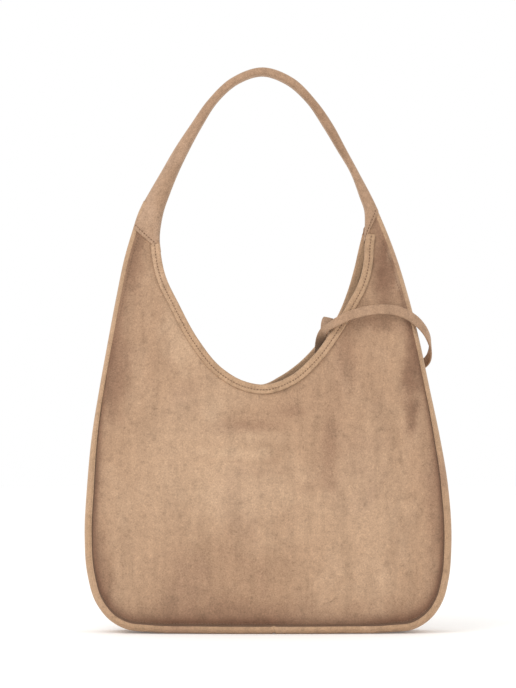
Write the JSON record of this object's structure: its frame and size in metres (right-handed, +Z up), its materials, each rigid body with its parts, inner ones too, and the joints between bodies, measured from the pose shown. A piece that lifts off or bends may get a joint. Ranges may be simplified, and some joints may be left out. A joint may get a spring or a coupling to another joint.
{
  "type": "hobo bag",
  "caption": "Slouchy hobo shoulder bag in brushed micro-suede: two curved panels rising into wings, a gusset, a lined inside and one arched strap.",
  "frame": {"origin": "on the floor, under the middle of the bag's base", "axes": "+X to the bag's right seen from the front, +Y to its back, +Z up"},
  "size_m": [0.366, 0.0924, 0.565],
  "materials": {
    "suede": "micro-suede, brushed nap",
    "lining": "twill lining",
    "padding": "thin non-woven padding",
    "board": "bonded fibre board",
    "webbing": "cotton tape",
    "zip_cloth": "woven polyester tape",
    "metal": "light gold plating, satin"
  },
  "bodies": {
    "bag": {"front_panel": "suede", "back_panel": "suede", "gusset_left": "suede", "gusset_right": "suede", "gusset_join_tape": "webbing", "base_board": "board", "strap_join_left": "suede", "strap_join_right": "suede", "front_interlining": "padding", "back_interlining": "padding", "front_lining": "lining", "back_lining": "lining", "front_binding": "suede", "back_binding": "suede", "lining_gusset": "lining", "snap_washer_front": "metal", "snap_washer_back": "metal", "snap_stud": "metal", "snap_socket": "metal", "zip_welt": "suede", "zip_tapes": "zip_cloth", "zip_teeth_upper": "metal", "zip_teeth_lower": "metal", "zip_stops": "metal", "zip_pocket_bag": "lining", "tether_tab": "suede", "tether_ring": "metal", "tether_clamp": "suede", "tether_strap": "suede"},
    "strap": {"strap_cover": "suede", "strap_tape": "webbing", "strap_core": "padding"},
    "zip_slider": {"zip_slider": "metal"},
    "zip_pull": {"zip_pull": "metal"}
  },
  "joints": [
    {"name": "strap_fold", "type": "hinge", "parent": "bag", "child": "strap", "pos_m": [0, 0, 0.409], "axis": [1, 0, 0], "range_deg": [-135, 135], "deforming": ["strap_join_left", "strap_join_right"]},
    {"name": "zip_slide", "type": "slide", "parent": "bag", "child": "zip_slider", "axis": [-1, 0, 0], "range_m": [0, 0.095]},
    {"name": "zip_pull_swing", "type": "hinge", "parent": "zip_slider", "child": "zip_pull", "pos_m": [0.0476, 0.03253, 0.188], "axis": [0, 0, 1], "range_deg": [0, 175]}
  ]
}
